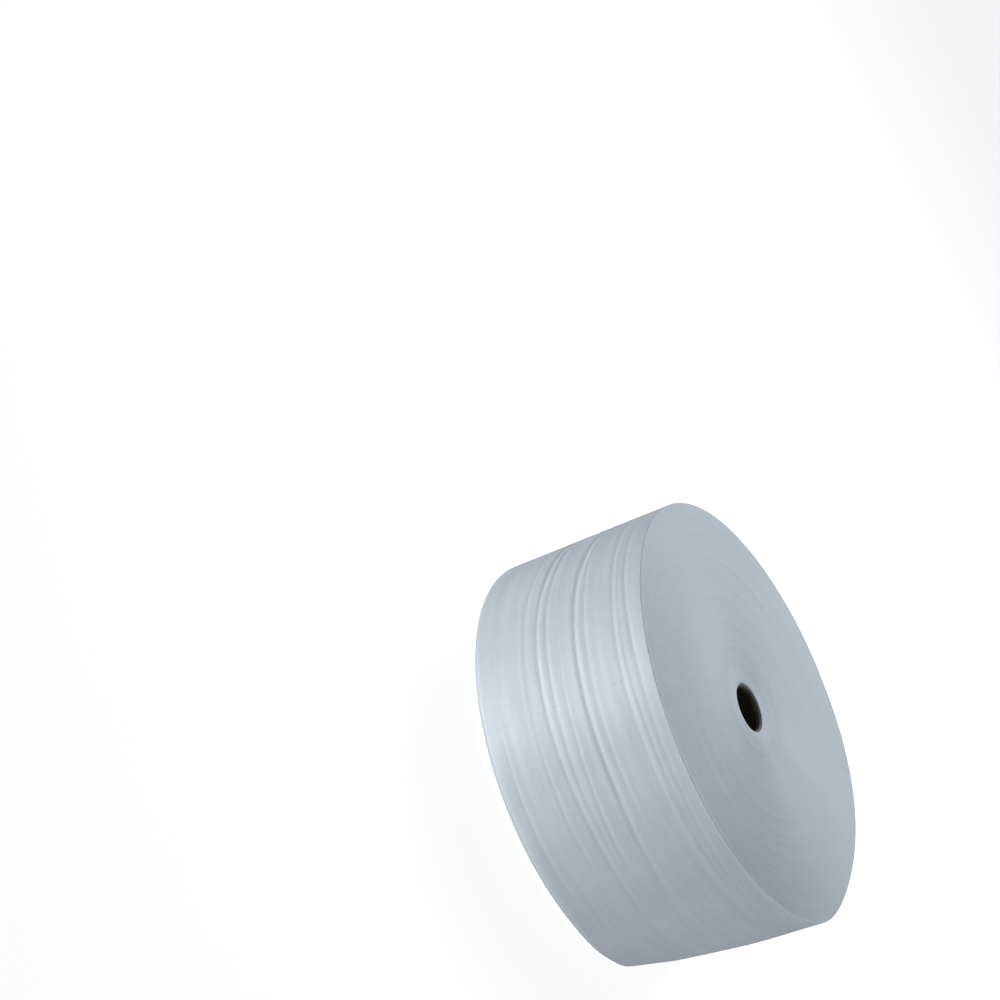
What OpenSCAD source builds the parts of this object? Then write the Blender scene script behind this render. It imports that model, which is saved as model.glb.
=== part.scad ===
// Foam wrap roll: a web of thin closed-cell foam wound on a paperboard core, standing on its end.
// The axis of the roll is Z. The origin is the middle of the lower end.

/* [Roll] */
// Width of the foam web, which is the height of the roll on its end
web_w = 304.8; // [200:0.1:600]
// Diameter across the outermost turn
roll_d = 699; // [400:1:900]
// Thickness that each wound turn adds
turn_t = 1; // [0.6:0.1:3]
// Direction in which the outermost turn ends at its cut edge, in degrees from +X
tail_dir = 92; // [-180:1:180]

/* [Core] */
// Bore of the core
core_bore_d = 76.2; // [50:0.1:80]
// Thickness of the core's wall
core_wall = 3; // [1.5:0.1:8]
// Depth of each end of the core inside the foam round it
core_inset = 2; // [0.5:0.1:15]
// Chamfer on the edges of the core
core_edge = 0.5; // [0.2:0.1:0.7]

/* [Ends] */
// Turns in each of the bands that show on an end
band_turns = 14; // [8:1:30]
// Depth of the line between two bands
line_d = 0.7; // [0.3:0.1:1.5]
// Furthest that a band of turns stands back from the upper end
wander = 0.9; // [0.3:0.1:2]
// Depth to which the upper end sinks beside the core
dish_d = 6; // [0.5:0.1:10]
// Rounding of the upper rim
upper_rim_r = 2.5; // [1:0.1:6]
// Rounding of the lower rim
lower_rim_r = 12; // [4:0.5:20]

/* [Wall] */
// Depth of the deepest crease in the wall
crease_d = 1.8; // [0.5:0.1:3]
// Width of the deepest crease
crease_w = 9; // [5:0.5:14]
// Distance by which the flat spot presses in the lower rim
flat_d = 17; // [3:0.5:25]
// Height that the flat spot reaches up the wall
flat_h = 140; // [30:1:200]
// Direction that the flat spot faces, in degrees from +X
flat_dir = -9; // [-180:1:180]

/* [Hidden] */
$fn = 180;

roll_r = roll_d / 2;
seat_r = core_bore_d / 2 + core_wall;
band_w = band_turns * turn_t;
line_w = 2 * turn_t;
rim_step = 15;
past = 1;

// Bands of turns lie side by side from the core to the flat beside the upper rim
band_count = floor((roll_r - upper_rim_r - line_w - seat_r) / band_w);
function band_r(i) = seat_r + i * band_w;

// The upper end sinks toward the core, and each band stands back by its own amount
function dish(r) = dish_d * pow(1 - (r - seat_r) / (roll_r - seat_r), 2);
function stand_back(i) = wander * (0.55 + 0.45 * sin(137.5 * i));
function band_top(i) = web_w - dish(band_r(i)) - stand_back(i);

core_bottom = core_inset;
core_top = band_top(0) - core_inset;

// Long creases that the wound tension leaves in the wall. Each is its height as a share of the
// web, its depth as a share of the deepest, the degrees that it leans and bows, the direction
// that it faces in degrees from +X, and half of its arc
creases = [
    [0.925, 0.70,  0.2, 3.5, -95, 75],
    [0.832, 0.55,  0.4, 1.5, -92, 52],
    [0.600, 1.00, -1.4, 0.0, -95, 105],
    [0.432, 0.60, -0.9, 0.9, -120, 50],
    [0.384, 0.95, -0.4, 0.4, -88, 100],
    [0.295, 0.45, -1.3, 0.0, -100, 48],
    [0.104, 0.40, -0.2, 0.0, -80, 20],
];

// Quarter circle of points about a centre, from one angle to the other
function rim_arc(centre, r, from) =
    [for (a = [from:rim_step:from + 90]) centre + r * [cos(a), sin(a)]];

// Section of the wound web from inside the bore out to radius r, with both rims rounded
module web_section(r) {
    polygon(concat(
        [[seat_r / 2, web_w], [seat_r / 2, 0]],
        rim_arc([r - lower_rim_r, lower_rim_r], lower_rim_r, -90),
        rim_arc([r - upper_rim_r, web_w - upper_rim_r], upper_rim_r, 0)
    ));
}

// The wall is a spiral of two half turns. The second has its centre half a web to one side,
// so it leaves the first smoothly and ends one web lower, at the cut edge
module wound_wall() {
    rotate([0, 0, tail_dir]) translate([0, -turn_t / 4, 0]) {
        rotate_extrude(angle = 180) web_section(roll_r);
        translate([-turn_t / 2, 0, 0]) rotate([0, 0, 180])
            rotate_extrude(angle = 180) web_section(roll_r - turn_t / 2);
    }
}

// What the bands of turns leave open below the plane of the upper end
module upper_relief() {
    rotate_extrude() polygon(concat(
        [[seat_r / 2, web_w + past], [seat_r / 2, band_top(0)]],
        [for (i = [0:band_count - 1]) each concat(
            i == 0 ? [] : [[band_r(i) + line_w / 2, band_top(i)]],
            [[band_r(i + 1) - line_w / 2, band_top(i)]],
            i == band_count - 1 ? [] :
                [[band_r(i + 1), min(band_top(i), band_top(i + 1)) - line_d]]
        )],
        [[band_r(band_count) + line_w / 2, web_w + past]]
    ));
}

// Lines between the bands on the lower end, which bears on what the roll stands on
module lower_relief() {
    outermost = floor((roll_r - lower_rim_r - line_w - seat_r) / band_w);
    rotate_extrude() polygon(concat(
        [[seat_r / 2, -line_d]],
        [for (i = [1:outermost]) each [
            [band_r(i) - line_w, -line_d],
            [band_r(i), line_d],
            [band_r(i) + line_w, -line_d]
        ]],
        [[roll_r, -line_d], [roll_r, -2 * line_d], [seat_r / 2, -2 * line_d]]
    ));
}

// A ring with a sharp inner edge, pushed off the axis so that it bites only along its arc
module crease(share, depth, lean, bow, facing, half_arc) {
    bite = crease_d * depth;
    push = bite / (1 - cos(half_arc));
    edge_r = (roll_r + push * cos(half_arc)) / cos(bow);
    reach = 2 * push + bite + past;
    spread = reach * crease_w / crease_d / 2;
    rotate([0, 0, facing])
        translate([-push, 0, web_w * share - edge_r * sin(bow)])
            rotate([lean, -bow, 0])
                rotate_extrude()
                    polygon([[edge_r, 0], [edge_r + reach, -spread], [edge_r + reach, spread]]);
}

// Where the soft wall has leaned on a floor
module flat_spot() {
    rotate([0, 0, flat_dir]) translate([roll_r - flat_d, 0, 0])
        rotate([0, atan(flat_d / flat_h), 0])
            translate([0, -roll_r, -flat_h]) cube([flat_h, 2 * roll_r, 3 * flat_h]);
}

// All the turns of foam as one solid
module foam_roll() {
    color("lavender") difference() {
        wound_wall();
        translate([0, 0, -past]) cylinder(r = seat_r, h = web_w + 2 * past);
        upper_relief();
        lower_relief();
        for (c = creases) crease(c[0], c[1], c[2], c[3], c[4], c[5]);
        flat_spot();
    }
}

// Tube of wound paperboard that the foam starts on
module paper_core() {
    inner_r = core_bore_d / 2;
    color("tan") rotate_extrude() polygon([
        [inner_r, core_bottom + core_edge],
        [inner_r + core_edge, core_bottom],
        [seat_r - core_edge, core_bottom],
        [seat_r, core_bottom + core_edge],
        [seat_r, core_top - core_edge],
        [seat_r - core_edge, core_top],
        [inner_r + core_edge, core_top],
        [inner_r, core_top - core_edge]
    ]);
}

foam_roll();
paper_core();
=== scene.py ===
"""Foam wrap roll: a web of thin closed-cell foam wound on a paperboard core, standing on its end.

The roll's axis is Z. Angles round the roll are in degrees from -Y, the side of the wall that faces
the camera, and grow toward +X. The settings are in metres. The shapes are worked out in
millimetres, as the tables here give them, and are turned into metres at the end.
"""

import math

import bpy
import numpy as np
from bpy.props import FloatProperty, FloatVectorProperty, IntProperty, PointerProperty
from mathutils import Matrix, Vector


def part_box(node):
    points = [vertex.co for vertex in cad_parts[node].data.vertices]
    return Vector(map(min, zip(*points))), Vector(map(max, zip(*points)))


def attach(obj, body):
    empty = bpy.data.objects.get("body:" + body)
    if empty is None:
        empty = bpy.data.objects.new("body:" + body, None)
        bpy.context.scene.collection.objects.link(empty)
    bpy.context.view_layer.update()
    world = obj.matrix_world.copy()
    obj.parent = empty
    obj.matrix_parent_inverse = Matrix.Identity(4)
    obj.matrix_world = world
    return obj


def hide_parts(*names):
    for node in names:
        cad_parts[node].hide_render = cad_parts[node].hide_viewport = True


bl_info = {
    "name": "Foam Wrap Roll",
    "version": (1, 0, 0),
    "blender": (4, 5, 0),
    "location": "3D View > Sidebar > Foam Roll",
    "description": "Makes a wound roll of closed-cell foam wrap, its paperboard core and a stage",
    "category": "Add Mesh",
}

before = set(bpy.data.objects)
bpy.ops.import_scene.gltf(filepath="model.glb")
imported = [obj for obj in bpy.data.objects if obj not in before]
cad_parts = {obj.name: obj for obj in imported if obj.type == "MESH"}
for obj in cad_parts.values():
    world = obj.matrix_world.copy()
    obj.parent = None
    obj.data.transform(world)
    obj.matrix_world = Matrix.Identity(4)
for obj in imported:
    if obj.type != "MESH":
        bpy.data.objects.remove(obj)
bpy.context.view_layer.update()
ROLL_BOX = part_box("foam_roll")
CORE_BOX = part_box("paper_core")
MM = 0.001

# Creases round the wall, from the top one down. Each has its width in mm, and then its angle, its
# height and its depth in mm at places round the roll.
CREASES = (
    (3.4, ((-180, 270, 0.3), (-120, 268, 0.2), (-80, 272, 0.2), (-60, 274, 0.4), (-44, 276.5, 0.75),
           (-30, 280, 0.6), (-13, 283.7, 0.35), (6, 284.3, 0.35), (20, 282, 0.22), (37, 278, 0.2),
           (56, 272, 0.2), (90, 268, 0.3), (140, 272, 0.3))),
    (3, ((-180, 260, 0.3), (-90, 262, 0.05), (-35, 265, 0.1), (-25, 266.2, 0.25),
         (-15, 267.8, 0.35), (0, 271, 0.25), (12, 270.5, 0.08), (56, 264, 0.05), (100, 260, 0.3),
         (140, 260, 0.5))),
    (3.4, ((-180, 248, 0.5), (-110, 250, 0.3), (-75, 252, 0.25), (-50, 253.5, 0.5),
           (-17, 255, 0.38), (2, 257.5, 0.4), (12, 256.8, 0.25), (31, 253.5, 0.12),
           (60, 249, 0.05), (120, 245, 0.2))),
    (3.2, ((-180, 216, 0.8), (-100, 210, 0.05), (-50, 204.5, 0.28), (-17, 203, 0.28),
           (4, 204.7, 0.32), (18, 205.6, 0.18), (32, 206.5, 0.05), (60, 208, 0), (100, 214, 0.3),
           (140, 218, 0.8))),
    (4, ((-180, 202, 0.3), (-110, 199, 0.6), (-69, 196, 1.1), (-50, 187.5, 1.25),
         (-25, 184.6, 1.15), (0, 186, 0.95), (8, 187, 0.8), (15, 184, 0.5), (25, 180, 0.28),
         (37, 177, 0.15), (60, 174, 0.1), (100, 178, 0.4), (140, 192, 0.3))),
    (3.2, ((-180, 164, 0.3), (-60, 160, 0.05), (-25, 156, 0.15), (-5, 153, 0.45), (9, 150, 0.5),
           (21, 144, 0.3), (32, 143, 0.1), (50, 142, 0), (100, 152, 0.2), (140, 162, 0.7))),
    (3.4, ((-180, 149, 0.4), (-100, 147, 0.4), (-66, 143, 0.5), (-44, 135, 0.52),
           (-17, 135.7, 0.42), (0, 134, 0.22), (15, 132, 0.05), (60, 130, 0), (120, 142, 0.3))),
    (4, ((-180, 136, 0.5), (-110, 133, 0.8), (-69, 130, 1.05), (-56, 124, 1.1), (-38, 117, 1.05),
         (-17, 117, 0.8), (6, 120, 0.8), (19, 121.4, 0.55), (30, 120.2, 0.35), (37, 119.4, 0.3),
         (56, 115.6, 0.25), (100, 114, 0.4), (150, 124, 0.4))),
    (3.4, ((-180, 92, 0.7), (-110, 102, 0.3), (-64, 102.7, 0.5), (-50, 97, 0.35), (-17, 92.6, 0.35),
           (6, 91, 0.38), (22, 88, 0.22), (40, 87, 0.05), (60, 86, 0), (120, 88, 0.5))),
    (3.2, ((-180, 44, 0.3), (-60, 38, 0), (-20, 35, 0.05), (-6, 33.7, 0.3), (12, 33.7, 0.35),
           (25, 33.7, 0.25), (50, 36, 0.05), (130, 46, 0.6))),
)
# Shoulders of a crease: how far up from its middle, in widths, and their share of its depth
SHOULDERS = ((2.0, 0.34), (-2.0, 0.18))
# Creases and swells fade in over these heights, and out over these distances below the upper rim
FADE_IN, FADE_OUT = (6, 22), (9, 3)

# Swells of the web's tension. Each has its height and its length up the wall, how far its waves
# sway round the roll, how many times, and where the swaying and the waves start.
SWELLS = ((0.16, 29, 1.1, 1, 0.6, 0.4), (0.11, 17.3, 1.7, 2, -0.9, 2.0),
          (0.05, 9.1, 2.3, 3, 1.9, 4.1))
# Strength of the swells at angles round the roll
SWELL_SHARE = ((-180, 0.9), (-60, 0.8), (5, 0.6), (35, 0.25), (70, 0.3), (120, 0.9))

# How far the upper rim stands out from a true circle, at angles round the roll, and over how many
# degrees its corners are rounded
OUT_OF_ROUND = (
    (-180, 0.5), (-165, -1.5), (-150, -3.5), (-140, -4.5), (-120, -4.5), (-100, -3.0), (-88, -2.0),
    (-70, 0.0), (0, 0.0), (45, 1.0), (62, 4.5), (74, 9.0), (83, 9.5), (92, 5.5), (102, -2.0),
    (112, -5.5), (120, -5.5), (130, -2.5), (140, 1.5), (150, 4.5), (160, 6.0), (166, 6.0),
    (173, 3.0),
)
OUT_OF_ROUND_SPREAD = 4.0
# Bulge of the lower rim beside the flat spot: angle, spread in degrees and height
FOOT_ANGLE, FOOT_SPREAD, FOOT_BULGE = 50, 9, 3.5
# Rounding of the flat spot's outline
FLAT_EDGE = 1.6
# The last turn's cut edge lifts by this much, and lies down again over this many degrees
TAIL_LIFT, TAIL_SPREAD = 0.9, 1.6
# Depth of the groove along a line of perforations, and its spread in degrees
GROOVE_DEPTH, GROOVE_SPREAD = 0.06, 0.2

# Bands of turns on the upper end: how far one may stand back, and depth and spread of the line
# between two of them
STAND_BACK, LINE_DEPTH, LINE_SPREAD = 0.12, 0.06, 0.9
# Turns near the upper rim that have sunk: distance in from the rim, depth and spread. They show
# round this angle, for as many degrees to each side.
SUNK_TURNS = ((4.2, 1.0, 0.9), (8.0, 0.7, 1.0))
SUNK_ANGLE, SUNK_REACH = 54, 23

# Strength of the painted highlight on the rim, and on the outer turns beside it, at angles round
# the roll; it stands in for light from the front and above. The painted strip ends this far in from
# the rim.
RIM_HIGHLIGHT_SHARE = ((-180, 0.2), (-60, 0.2), (-10, 0.3), (15, 1), (65, 1), (90, 0.6), (150, 0.2))
TURNS_HIGHLIGHT_SHARE = ((-180, 0), (-22, 0), (-8, 0.4), (8, 0.9), (20, 1), (48, 1), (66, 0.4), (85, 0))
HIGHLIGHT_REACH = (1.0, 18.0)

# Places of the mesh's rows and columns: across a crease, across a line between two bands, in from
# the rim, and in degrees across the cut edge and a line of perforations
CREASE_ROWS = (-9.0, -6.4, -4.4, -2.8, -1.4, 0.0, 1.4, 2.8, 4.4, 6.4, 9.0)
LINE_ROWS = (-1.3, 0, 1.3, 6.6)
OUTER_ROWS = (10.4, 9.2, 8.0, 6.8, 5.8, 5.0, 4.2, 3.4)
TAIL_COLUMNS = (-0.6, -0.12, -0.02, 0.02, 0.12, 0.6)
GROOVE_COLUMNS = (-0.45, -0.12, 0.12, 0.45)
# Least and greatest distance between two rows of the wall, and of a row beside the upper rim
ROW_MIN, ROW_MAX, RIM_ROW = 1.2, 4.5, 0.5

# Specks and a smudge on the upper end: angle, distance from the axis and size in metres, darkness
SPECKS = ((63.8, 0.237, 0.0026, 0.4), (-175.6, 0.259, 0.0018, 0.5), (153.0, 0.336, 0.008, 0.14))
# The end is coarser on this side, and has a warm tint on that one
COARSE_ANGLE, WARM_TINT_ANGLE = -55.0, 119.0

# The lights: angle round the roll and elevation in degrees, width and height in metres, watts and
# colour. The low ones shine through the floor.
WARM, PLAIN, COOL = (1.0, 0.985, 0.98), (0.99, 1.0, 1.006), (0.97, 1.01, 1.045)
LIGHTS = (
    ("key", -34, -24, 1.1, 1.1, 33.0, WARM),
    ("key_low", -60, -45, 1.1, 1.1, 28.0, WARM),
    ("key_deep", -24, -40, 1.1, 1.1, 15.5, WARM),
    ("key_front", -12, -24, 1.1, 1.1, 4.0, WARM),
    ("low_front", 15, -14, 1.2, 1.0, 12.8, PLAIN),
    ("low_right", 55, -24, 1.2, 1.0, 7.4, PLAIN),
    ("low_far", 90, -20, 1.2, 1.0, 8.6, PLAIN),
    ("side", 110, 8, 1.2, 1.0, 12.2, PLAIN),
    ("over", -165, 50, 2.1, 1.7, 61.0, COOL),
    ("back", -162, 17, 2.1, 1.1, 15.5, COOL),
    ("crown", -35, 42, 1.2, 1.0, 1.5, COOL),
    ("crown_right", 32, 42, 1.2, 1.0, 2.6, COOL),
)
LIGHT_DISTANCE, LIGHT_RAISE, LIGHT_AIM = 3.2, 0.2, (0, 0, 0.15)

# The camera, at the photograph's angle: its place, and the directions of its right and its back
CAMERA_PLACE = (0.0, -4.476, 2.036)
CAMERA_RIGHT = (0.34770, 0.41501, 0.84075)
CAMERA_BACK = (0.09354, -0.90758, 0.40932)


class FoamRollSettings(bpy.types.PropertyGroup):
    """Sizes and finish of the wound foam."""

    diameter: FloatProperty(
        name="Diameter",
        description="Diameter across the outermost turn",
        default=0.699, min=0.4, max=0.9, subtype="DISTANCE", unit="LENGTH",
    )
    turn: FloatProperty(
        name="Turn",
        description="Thickness that each wound turn adds",
        default=1.0 * MM, min=0.0005, max=0.005, subtype="DISTANCE", unit="LENGTH",
    )
    band: FloatProperty(
        name="Band",
        description="Width of each band of level turns on an end",
        default=14.0 * MM, min=0.006, max=0.03, subtype="DISTANCE", unit="LENGTH",
    )
    upper_rim: FloatProperty(
        name="Upper rim",
        description="Rounding of the upper rim",
        default=0.9 * MM, min=0.0005, max=0.006, subtype="DISTANCE", unit="LENGTH",
    )
    lower_rim: FloatProperty(
        name="Lower rim",
        description="Rounding of the lower rim",
        default=12.0 * MM, min=0.004, max=0.02, subtype="DISTANCE", unit="LENGTH",
    )
    dish: FloatProperty(
        name="Dish",
        description="Depth to which the upper end sinks beside the core",
        default=6.0 * MM, min=0.0, max=0.01, subtype="DISTANCE", unit="LENGTH",
    )
    flat_depth: FloatProperty(
        name="Flat spot depth",
        description="Distance by which the flat spot presses in the lower rim",
        default=17.0 * MM, min=0.0, max=0.025, subtype="DISTANCE", unit="LENGTH",
    )
    flat_height: FloatProperty(
        name="Flat spot height",
        description="Height that the flat spot reaches up the wall",
        default=140.0 * MM, min=0.03, max=0.2, subtype="DISTANCE", unit="LENGTH",
    )
    flat_angle: FloatProperty(
        name="Flat spot angle",
        description="Direction that the flat spot faces, from -Y toward +X",
        default=math.radians(81.0), subtype="ANGLE", unit="ROTATION",
    )
    tail_angle: FloatProperty(
        name="Cut edge angle",
        description="Where the outermost turn ends, from -Y toward +X",
        default=math.radians(182.0), subtype="ANGLE", unit="ROTATION",
    )
    perforation_angle: FloatProperty(
        name="Perforation angle",
        description="Where the first line of perforations lies, from -Y toward +X",
        default=math.radians(-17.5), subtype="ANGLE", unit="ROTATION",
    )
    perforation_spacing: FloatProperty(
        name="Perforation spacing",
        description="Length of web from one line of perforations to the next",
        default=0.6096, min=0.1, max=2.0, subtype="DISTANCE", unit="LENGTH",
    )
    dash_pitch: FloatProperty(
        name="Dash pitch",
        description="Spacing of the cuts along a line of perforations",
        default=14.65 * MM, min=0.004, max=0.04, subtype="DISTANCE", unit="LENGTH",
    )
    columns: IntProperty(
        name="Columns",
        description="Evenly spaced columns of the mesh round the roll",
        default=316, min=60, max=720,
    )
    colour: FloatVectorProperty(
        name="Foam",
        description="Colour of the foam",
        default=(0.655, 0.712, 0.785), size=3, min=0.0, max=1.0, subtype="COLOR",
    )
    shade: FloatVectorProperty(
        name="Thin foam",
        description="Colour of the foam in streaks where the web is thinner",
        default=(0.575, 0.637, 0.712), size=3, min=0.0, max=1.0, subtype="COLOR",
    )
    # Colour of the painted highlight along the upper rim and the outer turns beside it, standing in
    # for light from the front and above
    lip: FloatVectorProperty(
        name="Lip",
        description="Colour of the outer turns along the upper rim, where light soaks through",
        default=(0.83, 0.90, 0.97), size=3, min=0.0, max=1.0, subtype="COLOR",
    )
    # A warmer, darker tint in a narrow wedge on the upper end, from the core outward on one side
    warm_tint: FloatVectorProperty(
        name="Stain",
        description="Warm tint beside the core where hands and stands touch the end",
        default=(0.595, 0.575, 0.585), size=3, min=0.0, max=1.0, subtype="COLOR",
    )


class FoamCoreSettings(bpy.types.PropertyGroup):
    """Sizes and finish of the paperboard core."""

    bore: FloatProperty(
        name="Bore",
        description="Diameter of the core's bore",
        default=76.2 * MM, min=0.05, max=0.08, subtype="DISTANCE", unit="LENGTH",
    )
    edge: FloatProperty(
        name="Edge",
        description="Rounding of the core's edges",
        default=0.5 * MM, min=0.0002, max=0.0007, subtype="DISTANCE", unit="LENGTH",
    )
    seam_pitch: FloatProperty(
        name="Seam pitch",
        description="Height that the wound plies' seam climbs in one turn",
        default=0.16, min=0.05, max=0.4, subtype="DISTANCE", unit="LENGTH",
    )
    # The plain board colour is darker than the board's own brown-grey: painted shade for the dark
    # depth of the bore
    colour: FloatVectorProperty(
        name="Board",
        description="Colour of the paperboard",
        default=(0.075, 0.060, 0.050), size=3, min=0.0, max=1.0, subtype="COLOR",
    )
    # The board also shows this paler colour within a few millimetres of each end
    fibre: FloatVectorProperty(
        name="Fibre",
        description="Colour of the pale fibres in the paperboard and of its scuffed ends",
        default=(0.30, 0.275, 0.24), size=3, min=0.0, max=1.0, subtype="COLOR",
    )


class FoamStageSettings(bpy.types.PropertyGroup):
    """The floor and the lights."""

    floor_size: FloatProperty(
        name="Floor size",
        description="Side of the square floor",
        default=60.0, min=10.0, max=200.0, subtype="DISTANCE", unit="LENGTH",
    )
    floor_colour: FloatVectorProperty(
        name="Floor colour",
        description="Colour of the floor",
        default=(0.35, 0.35, 0.35), size=3, min=0.0, max=1.0, subtype="COLOR",
    )
    glow: FloatProperty(
        name="Floor glow",
        description="Light that the floor gives back to the roll, beside what falls on it",
        default=0.12, min=0.0, max=2.0,
    )
    backlight: FloatProperty(
        name="Floor backlight",
        description="Glow of the floor as it is seen, as on a table lit from below",
        default=0.89, min=0.0, max=2.0,
    )
    power: FloatProperty(
        name="Lights",
        description="Strength of all the lights, as a multiple of the usual one",
        default=1.0, min=0.0, max=10.0,
    )
    room: FloatProperty(
        name="Room light",
        description="Strength of the even light all round",
        default=0.02, min=0.0, max=2.0,
    )


class Value:
    """A shader socket that can be used in sums. Each operator adds one Math node."""

    def __init__(self, shader, socket):
        self.shader, self.socket = shader, socket

    def math(self, operation, *values):
        return self.shader.make("Math", {"operation": operation}, dict(enumerate(values)))

    def __add__(self, other):
        return self.math("ADD", self, other)

    def __sub__(self, other):
        return self.math("SUBTRACT", self, other)

    def __mul__(self, other):
        return self.math("MULTIPLY", self, other)

    def __truediv__(self, other):
        return self.math("DIVIDE", self, other)

    def __radd__(self, other):
        return self.math("ADD", other, self)

    def __rsub__(self, other):
        return self.math("SUBTRACT", other, self)

    def __rmul__(self, other):
        return self.math("MULTIPLY", other, self)

    def __rtruediv__(self, other):
        return self.math("DIVIDE", other, self)

    def size(self):
        """The value without its sign."""
        return self.math("ABSOLUTE", self)

    def fold(self, length):
        """The value folded back and forth between 0 and a length."""
        return self.math("PINGPONG", self, length)

    def step(self, low, high):
        """0 below low, 1 above high, and a smooth rise between. With high below low it falls."""
        return self.shader.make(
            "MapRange", {"interpolation_type": "SMOOTHSTEP"},
            {"Value": self, "From Min": low, "From Max": high},
        )


class Shader:
    """The nodes of a material or world. make adds any node and gives back one of its outputs."""

    def __init__(self, owner):
        self.owner = owner
        owner.use_nodes = True
        self.tree = owner.node_tree
        self.tree.nodes.clear()

    def make(self, kind, settings=None, values=None, out=0):
        """Adds a node of a type, sets its settings, then the values or links of its sockets."""
        node = self.tree.nodes.new("ShaderNode" + kind)
        for key, value in (settings or {}).items():
            setattr(node, key, value)
        for key, value in (values or {}).items():
            socket = node.inputs[key] if isinstance(key, int) else self.find(node.inputs, key)
            if isinstance(value, Value):
                self.tree.links.new(value.socket, socket)
            elif socket.type == "RGBA" and len(value) == 3:
                socket.default_value = (*value, 1.0)
            else:
                socket.default_value = value
        if not node.outputs:
            return None
        found = node.outputs[out] if isinstance(out, int) else self.find(node.outputs, out)
        return Value(self, found)

    @staticmethod
    def find(sockets, key):
        """The socket with this identifier, or the enabled one with this name."""
        for socket in sockets:
            if socket.identifier == key or (socket.name == key and socket.enabled):
                return socket
        raise KeyError(key)

    def mix(self, factor, first, second):
        """One colour turned into another."""
        return self.make(
            "Mix", {"data_type": "RGBA"},
            {"Factor_Float": factor, "A_Color": first, "B_Color": second}, "Result_Color",
        )

    def noise(self, vector, scale, detail=2.0, roughness=0.5):
        return self.make("TexNoise", {}, {
            "Vector": vector, "Scale": scale, "Detail": detail, "Roughness": roughness,
        })

    def vector(self, x, y, z):
        return self.make("CombineXYZ", {}, {0: x, 1: y, 2: z})

    def seen_or_lit(self, seen, lit):
        """One shader as the camera sees it, and another as it lights the other surfaces."""
        camera = self.make("LightPath", {}, {}, "Is Camera Ray")
        return self.make("MixShader", {}, {0: camera, 1: lit, 2: seen})

    def finish(self, surface, output="OutputMaterial"):
        self.make(output, {}, {"Surface": surface})
        return self.owner


def split(table):
    """The columns of a table, as arrays."""
    return np.array(table, float).T


def around(angle, knots, values, spread=5.0):
    """Values between places round the roll.

    Straight lines join the knots, which are in degrees, and a Gaussian mean over a spread of
    degrees then rounds them off.
    """
    fine = np.arange(0, 360, 0.5)
    line = np.interp(fine, np.mod(knots, 360), values, period=360)
    wave = np.fft.rfft(line)
    wave *= np.exp(-0.5 * (2 * np.pi * np.arange(wave.size) * spread / 360) ** 2)
    line = np.fft.irfft(wave, fine.size)
    return np.interp(np.mod(angle, 360), np.append(fine, 360), np.append(line, line[0]))


def smooth(value, low, high):
    """0 at low and 1 at high, with a smooth rise between them."""
    share = np.clip((value - low) / (high - low), 0, 1)
    return share * share * (3 - 2 * share)


def lesser(first, second, soft):
    """The lesser of two lengths, with the corner between them rounded over a soft length."""
    low = np.minimum(first, second)
    return low - soft * np.log(np.exp((low - first) / soft) + np.exp((low - second) / soft))


def closed_surface(name, points):
    """A mesh on a grid of rows and columns of points that closes on itself in both directions."""
    rows, columns = points.shape[:2]
    index = np.arange(rows * columns).reshape(rows, columns)
    below, beside = np.roll(index, -1, 0), np.roll(index, -1, 1)
    faces = np.stack([index, below, np.roll(below, -1, 1), beside], -1).reshape(-1, 4)
    mesh = bpy.data.meshes.new(name)
    mesh.vertices.add(rows * columns)
    mesh.vertices.foreach_set("co", points.reshape(-1).astype(np.float32))
    mesh.loops.add(faces.size)
    mesh.loops.foreach_set("vertex_index", faces.reshape(-1).astype(np.int32))
    mesh.polygons.add(len(faces))
    mesh.polygons.foreach_set("loop_start", np.arange(0, faces.size, 4, dtype=np.int32))
    mesh.update(calc_edges=True)
    mesh.validate()
    mesh.shade_smooth()
    piece = bpy.data.objects.new(name, mesh)
    bpy.context.scene.collection.objects.link(piece)
    return piece


def perforation_angles(size):
    """Degrees at which lines of perforations cross the outermost turn: the first and its
    neighbours."""
    step = math.degrees(size.perforation_spacing / (size.diameter / 2))
    first, tail = math.degrees(size.perforation_angle), math.degrees(size.tail_angle)
    return [a for a in (first - step, first, first + step) if tail - 360 < a < tail]


def column_angles(size):
    """Angles of the mesh's columns: even round the roll, and more at the cut edge and at the
    perforations."""
    tail = math.degrees(size.tail_angle)
    even = tail + 360 * (np.arange(size.columns) + 0.5) / size.columns
    extra = [tail + d for d in TAIL_COLUMNS]
    for line in perforation_angles(size):
        extra += [line + d for d in GROOVE_COLUMNS]
    return np.sort(np.mod(np.concatenate([even, extra]) - tail, 360)) + tail - 360


def wall_rows(heights, low, high):
    """Heights of the wall's rows, from the top one down.

    They lie between two heights, close together at each of the creases' heights, and no further
    apart than ROW_MAX elsewhere.
    """
    rows = [low, high - RIM_ROW, high]
    near = [float(h) + d for h in heights for d in CREASE_ROWS]
    for z in sorted(near, key=lambda z: min(abs(z - h) for h in heights)):
        if low + 1.0 < z < high - 1.0 and min(abs(z - other) for other in rows) > ROW_MIN:
            rows.append(z)
    rows = np.sort(rows)
    gaps = [np.linspace(a, b, max(1, math.ceil((b - a) / ROW_MAX)), endpoint=False)
            for a, b in zip(rows, rows[1:])]
    return np.concatenate([*gaps, [high]])[::-1]


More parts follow.
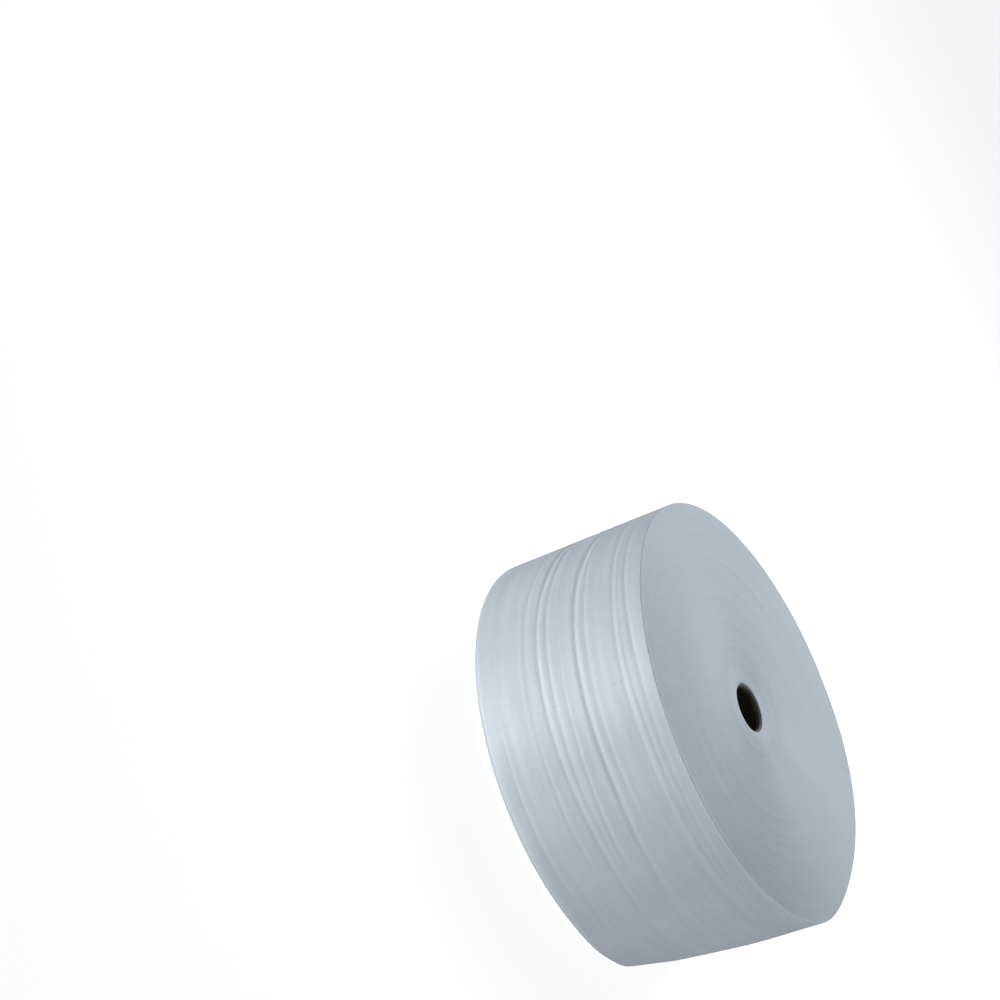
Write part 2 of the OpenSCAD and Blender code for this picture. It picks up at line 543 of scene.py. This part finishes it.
def wall_offset(size, angle, z, height, radius):
    """How far the wall stands out from the nominal radius, at angles and heights.

    It is the sum of the spiral's drop of one turn in a circle, the creases, each a Gaussian valley
    with a low shoulder on each side, long swells of the web's tension, the roll's out-of-round
    shape, which grows with height, the bulge of the foot beside the flat spot, the grooves along
    the perforations and the lifted cut edge. The flat spot's plane then limits it.
    """
    past = np.mod(angle - math.degrees(size.tail_angle), 360)
    offset = -(size.turn / MM) * past / 360
    inside = smooth(z, *FADE_IN) * (1 - smooth(z, *(height - d for d in FADE_OUT)))
    for width, path in CREASES:
        knots, heights, depths = split(path)
        u = (z - around(angle, knots, heights)) / width
        shape = -np.exp(-(u**2))
        for place, rise in SHOULDERS:
            shape = shape + rise * np.exp(-((u - place) ** 2))
        offset = offset + inside * around(angle, knots, depths) * shape

    turned = np.radians(angle)
    swell = 0
    for rise, length, sway, times, sway_start, start in SWELLS:
        phase = sway * np.sin(turned * times + sway_start)
        swell = swell + rise * np.sin(2 * np.pi * z / length + phase + start)
    calm = around(angle, *split(SWELL_SHARE))
    offset = offset + inside * swell * calm * (0.75 + 0.25 * np.sin(turned * 2 + z / 40))

    share = np.clip(z / height, 0, 1)
    offset = offset + around(angle, *split(OUT_OF_ROUND), OUT_OF_ROUND_SPREAD) * share
    beside_flat = np.exp(-(((angle - FOOT_ANGLE) / FOOT_SPREAD) ** 2))
    offset = offset + FOOT_BULGE * (1 - share) * beside_flat
    for line in perforation_angles(size):
        groove = np.exp(-(((angle - line) / GROOVE_SPREAD) ** 2))
        offset = offset - GROOVE_DEPTH * inside * groove
    ruffle = 0.7 + 0.3 * np.sin(z / 31 + 0.8)
    offset = offset + TAIL_LIFT * np.exp(-past / TAIL_SPREAD) * ruffle

    slope = size.flat_depth / size.flat_height
    facing = np.maximum(np.cos(np.radians(angle - math.degrees(size.flat_angle))), 0.2)
    plane = (radius - size.flat_depth / MM + z * slope) / facing - radius
    return lesser(offset, plane, FLAT_EDGE)


def end_rows(seat, radius, upper, lines):
    """Distances from the axis of the upper end's rows, from the core outward."""
    across_lines = (lines[:, None] + np.array(LINE_ROWS)).ravel()
    rows = np.concatenate([[seat, seat + 0.7, seat + 7], across_lines])
    outer = [*(radius - np.array(OUTER_ROWS)), radius - (upper + RIM_ROW), radius - upper]
    return np.concatenate([rows[rows < radius - OUTER_ROWS[0] - 0.1], outer])


def end_heights(size, angle, rows, lines, seat, radius, upper, height):
    """Heights of the upper end at its rows and at angles.

    Each band of turns stands back by its own small amount, with a Gaussian line between two of
    them. The whole end sinks toward the core with the square of the distance from the rim, waves
    slightly round the roll, and has a few sunk turns beside the rim on one side.
    """
    def stand_back(i):
        return STAND_BACK * (0.55 + 0.45 * np.sin(np.radians(137.5 * i)))

    count = len(lines)
    level = np.interp(
        rows,
        np.concatenate([[seat], np.repeat(lines, 2) + np.tile([-1.3, 1.3], count), [radius]]),
        stand_back(np.concatenate([
            [0], np.repeat(np.arange(count), 2) + np.tile([0, 1], count), [count],
        ])),
    )
    nearest = np.min(np.abs(rows[:, None] - lines[None, :]), axis=1)
    line_depth = LINE_DEPTH * np.exp(-((nearest / LINE_SPREAD) ** 2))
    dish = size.dish / MM * (1 - (rows - seat) / (radius - seat)) ** 2
    fade = 1 - smooth(rows, radius - 12, radius - upper)
    top = height - dish - (level + line_depth) * fade
    top[0] -= 0.5

    rows, fade = rows[:, None], fade[:, None]
    phase = 2.4 * np.sin(rows / 37) + rows / 60
    turned = np.radians(angle)
    ripple = 0.28 * np.sin(2 * turned + phase) + 0.16 * np.sin(5 * turned - 2 * phase)
    share = np.clip((rows - seat) / (radius - seat), 0, 1)
    top = top[:, None] + ripple * share * fade - 0.3 * share * fade
    sunk = sum(depth * np.exp(-(((radius - rows - inward) / spread) ** 2))
               for inward, depth, spread in SUNK_TURNS)
    return top - np.exp(-(((angle - SUNK_ANGLE) / SUNK_REACH) ** 4)) * sunk


def foam_points(size):
    """Points of the foam's skin, as rows round its section and columns round its axis, and how much
    painted highlight, along the upper rim and the outer turns beside it, each one has.

    The rows go from the bore outward over the upper end, down the wall, inward over the lower end
    and up the bore. A row on the wall follows the creases: its height shifts by what the nearest
    creases above and below it have shifted by at that angle.
    """
    height = (ROLL_BOX[1].z - ROLL_BOX[0].z) / MM
    radius = size.diameter / 2 / MM
    seat = CORE_BOX[1].x / MM
    band, turn = size.band / MM, size.turn / MM
    upper, lower = size.upper_rim / MM, size.lower_rim / MM
    angle = column_angles(size)[None, :]
    lines = seat + band * np.arange(1, int((radius - upper - 2 * turn - seat) // band) + 1)

    # Upper end, whose outline follows the wall's
    ends_r = end_rows(seat, radius, upper, lines)
    top_z = end_heights(size, angle, ends_r, lines, seat, radius, upper, height)
    rim_out = wall_offset(size, angle, np.full((1, 1), height - upper), height, radius)
    share = np.clip((ends_r[:, None] - seat) / (radius - seat), 0, 1)
    top_r = ends_r[:, None] + rim_out * share**6

    # Upper rim, a quarter circle
    bend = np.radians([15, 35, 55, 75])[:, None]
    rim_r = radius - upper + upper * np.sin(bend) + rim_out
    rim_z = height - upper + upper * np.cos(bend) + 0 * angle

    # Wall, whose rows warp to follow the creases
    heights = np.array([around(0.0, *split(path)[:2]) for _, path in CREASES])
    paths = np.array([around(angle[0], *split(path)[:2]) for _, path in CREASES])
    rows = wall_rows(heights, lower, height - upper)
    order = np.argsort(heights)
    anchors = np.concatenate([[lower], heights[order], [height - upper]])
    shifts = np.vstack([0 * angle, (paths - heights[:, None])[order], 0 * angle])
    place = np.clip(np.searchsorted(anchors, rows, side="right") - 1, 0, len(anchors) - 2)
    along = ((rows - anchors[place]) / (anchors[place + 1] - anchors[place]))[:, None]
    wall_z = rows[:, None] + shifts[place] * (1 - along) + shifts[place + 1] * along
    wall_r = radius + wall_offset(size, angle, wall_z, height, radius)

    # Lower rim, a quarter circle
    bend = np.radians([12, 24, 36, 48, 60, 72, 84])[:, None]
    foot_z = lower - lower * np.sin(bend) + 0 * angle
    foot_out = wall_offset(size, angle, foot_z, height, radius)
    foot_r = radius - lower + lower * np.cos(bend) + foot_out

    # Lower end, with a shallow line between two bands
    base = lines[lines < radius - lower - 2 * turn]
    across_lines = (base[::-1, None] + np.array([band / 2, 0])).ravel()
    base_r = np.concatenate([[radius - lower], across_lines, [seat + 0.6]])
    base_r = base_r[base_r <= radius - lower]
    nearest = np.min(np.abs(base_r[:, None] - base[None, :]), axis=1)
    share = ((base_r[:, None] - seat) / (radius - seat)) ** 5
    base_z = 0.5 * (nearest < 1.0)[:, None] + 0 * angle
    base_z[-1] = 0.5
    base_out = wall_offset(size, angle, np.zeros((1, 1)), height, radius)
    base_r = base_r[:, None] + base_out * share

    # Bore
    bore_z = np.array([2.0, 100.0, 200.0])[:, None] + 0 * angle
    bore_r = np.full_like(bore_z, seat)

    r = np.vstack([a + 0 * angle for a in (top_r, rim_r, wall_r, foot_r, base_r, bore_r)]) * MM
    z = np.vstack([top_z, rim_z, wall_z, foot_z, base_z, bore_z]) * MM
    turned = np.radians(angle)
    # Painted highlight: how much of it each point gets, along the upper rim and the outer turns
    # beside it
    lip = np.zeros_like(r)
    first = len(ends_r)
    from_rim = radius - ends_r[:, None]
    lip[:first] = (1 - smooth(from_rim, *HIGHLIGHT_REACH)) * around(angle, *split(TURNS_HIGHLIGHT_SHARE))
    lip[first - 2 : first + len(rim_z) + 2] = around(angle, *split(RIM_HIGHLIGHT_SHARE))
    return np.stack([r * np.sin(turned), -r * np.cos(turned), z], -1), lip


def core_points(size):
    """Points of the core, as rows round its section and columns round its axis.

    The section is the wall's rectangle with rounded edges. Each end shows five wound plies, with a
    fine line between two of them, and the bore is out of round by a tenth of a millimetre.
    """
    inner, outer = size.bore / 2 / MM, CORE_BOX[1].x / MM - 0.05
    low, high = CORE_BOX[0].z / MM, CORE_BOX[1].z / MM
    edge = size.edge / MM
    step = np.arange(13)
    plies = np.linspace(inner + edge, outer - edge, step.size)
    dip = np.where(step % 3 == 2, 0.14, 0.0) + 0.03 * np.sin(step * 2.4)
    bend = np.radians([22.5, 45, 67.5])
    corner = edge * np.stack([np.sin(bend), 1 - np.cos(bend)])
    inside = np.linspace(low + edge, high - edge, 26)
    r = np.concatenate([
        plies, outer - edge + corner[0], [outer, outer], outer - edge + corner[0][::-1],
        plies[::-1], inner + edge - corner[0], inside * 0 + inner, inner + edge - corner[0][::-1],
    ])
    z = np.concatenate([
        high - dip, high - corner[1], [high - edge, low + edge], low + corner[1][::-1],
        (low + dip)[::-1], low + corner[1], inside, high - corner[1][::-1],
    ])
    angle = np.radians(np.arange(0, 360, 1.875))[None, :]
    wave = 0.1 * np.sin(2 * angle + 0.7) * (np.abs(r - inner) < edge)[:, None]
    r, z = (r[:, None] + wave) * MM, (z[:, None] + 0 * angle) * MM
    return np.stack([r * np.sin(angle), -r * np.cos(angle), z], -1)


def polar_values(shader):
    """Object coordinates, and from them the distance from the axis, its direction and height."""
    place = shader.make("TexCoord", {}, {}, "Object")
    x, y, z = (shader.make("SeparateXYZ", {}, {0: place}, i) for i in range(3))
    square = x * x + y * y
    r = square.math("SQRT", square)
    return place, r, x / r, (0.0 - y) / r, z


def toward(east, front, degrees):
    """1 in a direction round the roll, 0 at right angles to it and -1 behind."""
    turned = math.radians(degrees)
    return east * math.sin(turned) + front * math.cos(turned)


def perforation_mask(s, size, place, east, front, z, end):
    """1 in the cuts of the lines of perforations on the wall, some of them fainter than others."""
    cut = None
    for line in perforation_angles(size):
        turned = math.radians(line)
        off_line = (east * math.cos(turned) - front * math.sin(turned)).size()
        facing = toward(east, front, line).step(0.8, 0.9)
        one = (off_line * (size.diameter / 2)).step(0.0011, 0.0004) * facing
        cut = one if cut is None else cut.math("MAXIMUM", cut, one)
    dash = (z / size.dash_pitch + 0.35).fold(0.5)
    cut = cut * dash.step(0.23, 0.29) * (1.0 - end) * z.step(0.004, 0.010)
    return cut * s.noise(place, 45.0, 1.0, 0.5).step(0.30, 0.60)


def foam_material(size):
    """Closed-cell foam: streaks along the web, cells in the cut ends, perforations and satin sheen.

    The fine grooves between turns all run round the roll, so its gloss spreads across them.
    """
    s = Shader(bpy.data.materials.new("foam_satin"))
    place, r, east, front, z = polar_values(s)
    across = r + z
    end = z.step(0.2985, 0.3025)
    long_streak = s.noise(s.vector(east * 1.4, front * 1.4, across * 75.0), 1.0, 3.0, 0.55)
    fine_streak = s.noise(s.vector(east * 7.0, front * 7.0, across * 420.0), 1.0, 2.0, 0.6)
    cells = s.make("TexVoronoi", {"feature": "F1"}, {
        "Vector": place, "Scale": 430.0, "Randomness": 1.0,
    })
    grain = s.noise(place, 240.0, 3.0, 0.65)
    cloud = s.noise(place, 9.0, 2.0, 0.5)

    # The upper end is coarser, with flecks, on the side where the knife dragged
    coarse = toward(east, front, COARSE_ANGLE).step(0.1, 0.95) * r.step(0.10, 0.24)
    flecks = s.noise(s.vector(east * 70.0, front * 70.0, across * 300.0), 1.0, 2.0, 0.6)
    flecks = flecks * coarse * end
    coarse = 1.0 - end * (1.0 - coarse) * 0.62
    cut = perforation_mask(s, size, place, east, front, z, end)

    # Colour: streaks, a painted highlight along the upper rim and the outer turns beside it, and a
    # warm tint on the upper end from the core outward
    tone = long_streak * 0.55 + fine_streak * 0.25 + cloud * 0.20
    tone = (tone - 0.5) * (1.0 - end * 0.86) + 0.5
    colour = s.mix(tone.step(0.34, 0.68), size.colour, size.shade)
    # Painted highlight along the upper rim and the outer turns beside it
    lip = s.make("Attribute", {"attribute_name": "lip"}, {}, "Fac")
    colour = s.mix(lip * 0.6, colour, size.lip)
    warm = toward(east, front, WARM_TINT_ANGLE).step(0.93, 0.999) * end * r.step(0.36, 0.04) * 0.62
    colour = s.mix(warm, colour, size.warm_tint)

    # Dark places: pits, flecks, the cuts and the specks, and painted shade on the upper end beside
    # the core and on the foot
    pits = (cells * 0.6 + grain * 0.7).step(0.45, 0.95) * coarse
    marks_and_painted_shade = pits * (0.05 + end * 0.09) + flecks.step(0.45, 0.75) * 0.11
    # Painted shade: the upper end darkens toward the core from 13 cm out, and the wall's lowest 11
    # mm darkens toward the floor
    marks_and_painted_shade = marks_and_painted_shade + end * r.step(0.13, 0.04) * 0.46 + cut * 0.14 + z.step(0.011, 0.002) * 0.5
    for degrees, reach, spot, depth in SPECKS:
        turned = math.radians(degrees)
        here = (reach * math.sin(turned), -reach * math.cos(turned), 0.303)
        away = s.make("VectorMath", {"operation": "DISTANCE"}, {0: place, 1: here}, "Value")
        marks_and_painted_shade = marks_and_painted_shade + away.step(spot * 1.7, spot * 0.3) * depth
    colour = s.mix(marks_and_painted_shade, colour, tuple(c * 0.42 for c in size.shade))

    height = long_streak * (0.25 - end * 0.232) + fine_streak * (0.06 - end * 0.045)
    rough = grain * (0.08 + end * 0.60) + cells * (0.05 + end * 0.50)
    height = height + rough * coarse - cut * 0.25 - flecks * 0.9
    normal = s.make("Bump", {}, {"Height": height, "Strength": 0.7, "Distance": 0.0011})
    satin = s.make("BsdfPrincipled", {}, {
        "Base Color": colour, "Roughness": 0.45 + fine_streak * 0.08, "Normal": normal,
        "IOR": 1.5, "Specular IOR Level": 0.68, "Anisotropic": 0.78, "Anisotropic Rotation": 0.25,
    })
    return s.finish(satin)


def board_material(size):
    """Wound paperboard: pale fibres, plies at the ends and the seam of the innermost ply. Its plain
    colour is darker than the board, as painted shade for the depth of the bore, and it is paler
    within a few millimetres of each end.
    """
    s = Shader(bpy.data.materials.new("core_paperboard"))
    place, r, east, front, z = polar_values(s)
    inner = size.bore / 2
    low, high = CORE_BOX[0].z, CORE_BOX[1].z
    fibre = s.noise(s.vector(east * 9.0, front * 9.0, z * 700.0), 1.0, 4.0, 0.65)
    mottle = s.noise(place, 120.0, 3.0, 0.6)
    angle = s.make("Math", {"operation": "ARCTAN2"}, {0: east, 1: front})
    climb = z / size.seam_pitch - angle / (2 * math.pi)
    off_seam = (climb.fold(0.5) - 0.25).size() * size.seam_pitch
    seam = off_seam.step(0.0012, 0.0003) * r.step(inner + 0.001, inner + 0.0004)
    ply = ((r * 1000.0).fold(0.3) * 3.0) * r.step(inner + 0.0003, inner + 0.0006)
    # Paler within a few millimetres of each end; deeper in, the dark plain colour is painted shade
    pale_ends = (z + mottle * 0.002).step(high - 0.0065, high - 0.0035)
    pale_ends = pale_ends + (z - mottle * 0.002).step(low + 0.0065, low + 0.0035)
    pale = (fibre * 0.7 + mottle * 0.5).step(0.35, 0.95) * 0.25 + pale_ends * 0.75
    colour = s.mix(pale, size.colour, size.fibre)
    colour = s.mix(seam * 0.7, colour, tuple(c * 0.35 for c in size.colour))
    height = fibre * 0.4 + mottle * 0.2 + ply * 0.3 - seam * 0.9
    normal = s.make("Bump", {}, {"Height": height, "Strength": 0.7, "Distance": 0.0005})
    board = s.make("BsdfPrincipled", {}, {
        "Base Color": colour, "Roughness": 0.82 + mottle * 0.12, "Normal": normal,
        "Specular IOR Level": 0.25,
    })
    return s.finish(board)


class FOAMROLL_OT_foam(bpy.types.Operator):
    """Make the wound foam, with its creases, bands, flat spot and cut edge"""

    bl_idname = "foam_roll.foam"
    bl_label = "Wound Foam"

    def execute(self, context):
        size = context.scene.foam_roll
        points, lip = foam_points(size)
        piece = closed_surface("wound_foam", points)
        # The painted highlight along the upper rim, kept as a point attribute for the material
        highlight_layer = piece.data.attributes.new("lip", "FLOAT", "POINT")
        highlight_layer.data.foreach_set("value", lip.ravel().astype(np.float32))
        piece.data.materials.append(foam_material(size))
        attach(piece, "root")
        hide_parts("foam_roll")
        return {"FINISHED"}


class FOAMROLL_OT_core(bpy.types.Operator):
    """Make the paperboard core, with its plies and seam"""

    bl_idname = "foam_roll.core"
    bl_label = "Paperboard Core"

    def execute(self, context):
        size = context.scene.foam_core
        piece = closed_surface("wound_core", core_points(size))
        piece.data.materials.append(board_material(size))
        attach(piece, "root")
        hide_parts("paper_core")
        return {"FINISHED"}


def make_floor(size):
    """A square floor that glows as a table lit from below does, and lets the low lights through."""
    half = size.floor_size / 2
    corners = [(-half, -half, 0), (half, -half, 0), (half, half, 0), (-half, half, 0)]
    mesh = bpy.data.meshes.new("floor")
    mesh.from_pydata(corners, [], [(0, 1, 2, 3)])
    floor = bpy.data.objects.new("floor", mesh)
    bpy.context.scene.collection.objects.link(floor)
    s = Shader(bpy.data.materials.new("pale_floor"))
    lit, seen = (s.make("BsdfPrincipled", {}, {
        "Base Color": tuple(size.floor_colour), "Roughness": 0.9, "Specular IOR Level": 0.1,
        "Emission Color": (1.0, 1.0, 1.0), "Emission Strength": glow,
    }) for glow in (size.glow, size.backlight))
    mesh.materials.append(s.finish(s.seen_or_lit(seen, lit)))
    floor.visible_shadow = False


def make_room(size):
    """A room that is seen white and lights the roll faintly from all round."""
    s = Shader(bpy.data.worlds.new("room"))
    seen = s.make("Background", {}, {"Color": (1.0, 1.0, 1.0), "Strength": 1.0})
    lit = s.make("Background", {}, {"Color": (0.95, 0.975, 1.0), "Strength": size.room})
    bpy.context.scene.world = s.finish(s.seen_or_lit(seen, lit), "OutputWorld")


def soft_light(name, angle, elevation, width, height, watts, colour):
    """A rectangular light in a direction from the roll, turned to it. Low ones shine through the
    floor."""
    data = bpy.data.lights.new(name, "AREA")
    data.shape, data.size, data.size_y = "RECTANGLE", width, height
    data.energy, data.color = watts, colour
    data.cycles.use_multiple_importance_sampling = elevation > 0
    a, e = math.radians(angle), math.radians(elevation)
    place = Vector((math.sin(a) * math.cos(e), -math.cos(a) * math.cos(e), math.sin(e)))
    place = place * LIGHT_DISTANCE
    place.z += LIGHT_RAISE
    lamp = bpy.data.objects.new(name, data)
    lamp.location = place
    lamp.rotation_mode = "QUATERNION"
    lamp.rotation_quaternion = (Vector(LIGHT_AIM) - place).to_track_quat("-Z", "Y")
    lamp.visible_camera = False
    bpy.context.scene.collection.objects.link(lamp)


def make_camera():
    """The camera, at the photograph's angle."""
    data = bpy.data.cameras.new("camera")
    data.sensor_width, data.lens = 36.0, 108.0
    data.clip_start, data.clip_end = 0.1, 200.0
    camera = bpy.data.objects.new("camera", data)
    back = Vector(CAMERA_BACK).normalized()
    right = Vector(CAMERA_RIGHT)
    right = (right - back * right.dot(back)).normalized()
    camera.location = CAMERA_PLACE
    camera.rotation_mode = "QUATERNION"
    turn = Matrix((right, back.cross(right), back)).transposed()
    camera.rotation_quaternion = turn.to_quaternion()
    bpy.context.scene.collection.objects.link(camera)
    bpy.context.scene.camera = camera


class FOAMROLL_OT_stage(bpy.types.Operator):
    """Make the floor, the room light, the lights and the camera"""

    bl_idname = "foam_roll.stage"
    bl_label = "Stage"

    def execute(self, context):
        size = context.scene.foam_stage
        make_floor(size)
        make_room(size)
        for name, angle, elevation, width, height, watts, colour in LIGHTS:
            soft_light(name, angle, elevation, width, height, watts * size.power, colour)
        make_camera()
        context.scene.view_settings.view_transform = "Standard"
        return {"FINISHED"}


class FOAMROLL_PT_panel(bpy.types.Panel):
    """Sizes, colours and buttons for the foam roll."""

    bl_idname = "FOAMROLL_PT_panel"
    bl_label = "Foam Roll"
    bl_space_type = "VIEW_3D"
    bl_region_type = "UI"
    bl_category = "Foam Roll"

    def draw(self, context):
        actions = (FOAMROLL_OT_foam, FOAMROLL_OT_core, FOAMROLL_OT_stage)
        for settings, action in zip(SETTINGS, actions):
            group = getattr(context.scene, settings)
            box = self.layout.box()
            for name in type(group).__annotations__:
                box.prop(group, name)
            box.operator(action.bl_idname)


SETTINGS = {
    "foam_roll": FoamRollSettings, "foam_core": FoamCoreSettings, "foam_stage": FoamStageSettings,
}
CLASSES = (
    *SETTINGS.values(), FOAMROLL_OT_foam, FOAMROLL_OT_core, FOAMROLL_OT_stage, FOAMROLL_PT_panel,
)


def register():
    for kind in CLASSES:
        bpy.utils.register_class(kind)
    for name, kind in SETTINGS.items():
        setattr(bpy.types.Scene, name, PointerProperty(type=kind))


def unregister():
    for name in SETTINGS:
        delattr(bpy.types.Scene, name)
    for kind in reversed(CLASSES):
        bpy.utils.unregister_class(kind)


def main():
    register()
    bpy.ops.foam_roll.foam()
    bpy.ops.foam_roll.core()
    bpy.ops.foam_roll.stage()
    bpy.context.view_layer.update()


if __name__ == "__main__":
    main()
